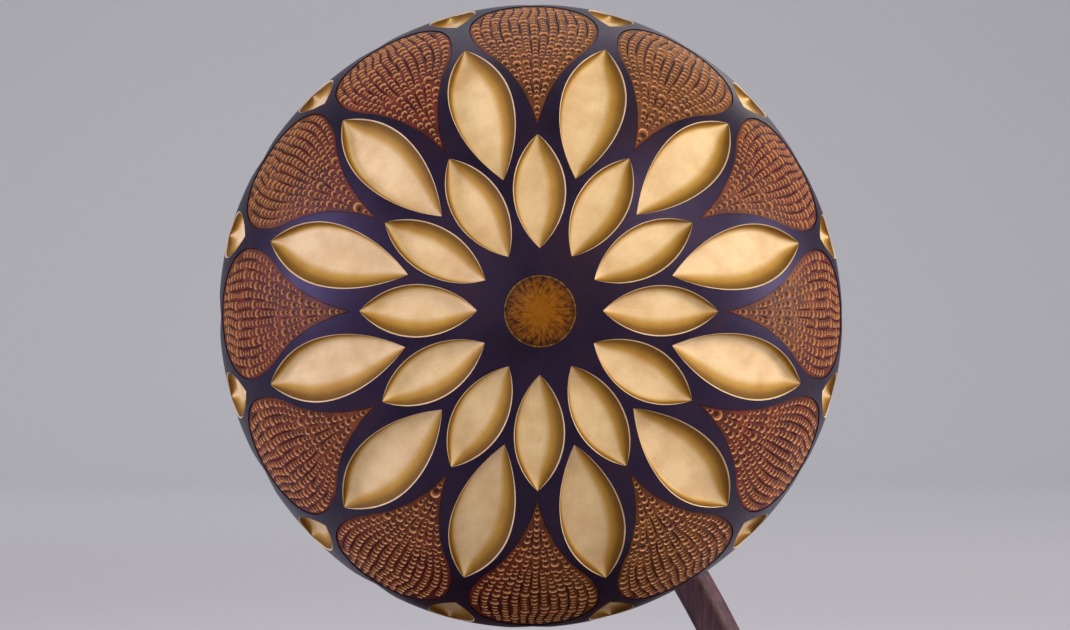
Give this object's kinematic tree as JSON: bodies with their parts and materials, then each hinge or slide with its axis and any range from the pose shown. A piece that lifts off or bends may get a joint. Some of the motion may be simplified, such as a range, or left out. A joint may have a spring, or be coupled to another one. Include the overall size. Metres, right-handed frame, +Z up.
{
  "type": "table lamp",
  "caption": "Carved gourd lamp: dark gourd shade with a rosette of pale scooped petals and rust drilled panels, amber eye, on a bent wooden arm with a tilting brass knuckle",
  "frame": {"origin": "centre of the underside of the round base", "axes": "+Z up, the flower end of the gourd faces -Y, the arm's foot is at +X +Y"},
  "size_m": [0.25, 0.269, 0.3034],
  "materials": {
    "gourd_skin": "dyed dark, waxed satin",
    "amber": "polished amber disc",
    "turned_wood": "stained and oiled",
    "brass": "aged satin",
    "phenolic": "moulded",
    "ceramic": "unglazed",
    "bulb_glass": "opal",
    "nickel_cap": "bright",
    "fibre": "vulcanised fibre",
    "felt": "pressed felt",
    "steel": "zinc plated"
  },
  "bodies": {
    "stand": {"base_disc": "turned_wood", "base_cover": "steel", "cover_screws": "brass", "felt_pad": "felt", "cord_bush": "phenolic", "bent_arm": "turned_wood", "arm_screw": "steel", "knuckle_fork": "brass", "friction_washers": "fibre", "tilt_bolt": "brass"},
    "knob": {"tilt_knob": "brass"},
    "head": {"knuckle_tongue": "brass", "threaded_tube": "brass", "front_nut": "brass", "rear_nut": "brass", "collar_washer": "brass", "rear_collar": "turned_wood", "holder_cap": "phenolic", "holder_skirt": "phenolic", "contact_block": "ceramic", "centre_contact": "brass", "socket_shell": "brass"},
    "bulb": {"bulb_cap": "nickel_cap", "bulb_glass": "bulb_glass"},
    "shade": {"gourd_shell": "gourd_skin", "eye_inlay": "amber", "mouth_ring": "turned_wood"}
  },
  "joints": [
    {"name": "head_tilt", "type": "hinge", "parent": "stand", "child": "head", "pos_m": [0, 0.10023, 0.184], "axis": [1, 0, 0], "range_deg": [-30, 10]},
    {"name": "knob_turn", "type": "hinge", "parent": "stand", "child": "knob", "pos_m": [0, 0.10023, 0.184], "axis": [1, 0, 0], "range_deg": [0, 180]},
    {"name": "shade_off", "type": "slide", "parent": "head", "child": "shade", "axis": [0, -1, 0], "range_m": [0, 0.13]},
    {"name": "bulb_out", "type": "slide", "parent": "head", "child": "bulb", "axis": [0, -1, 0], "range_m": [0, 0.03]}
  ]
}
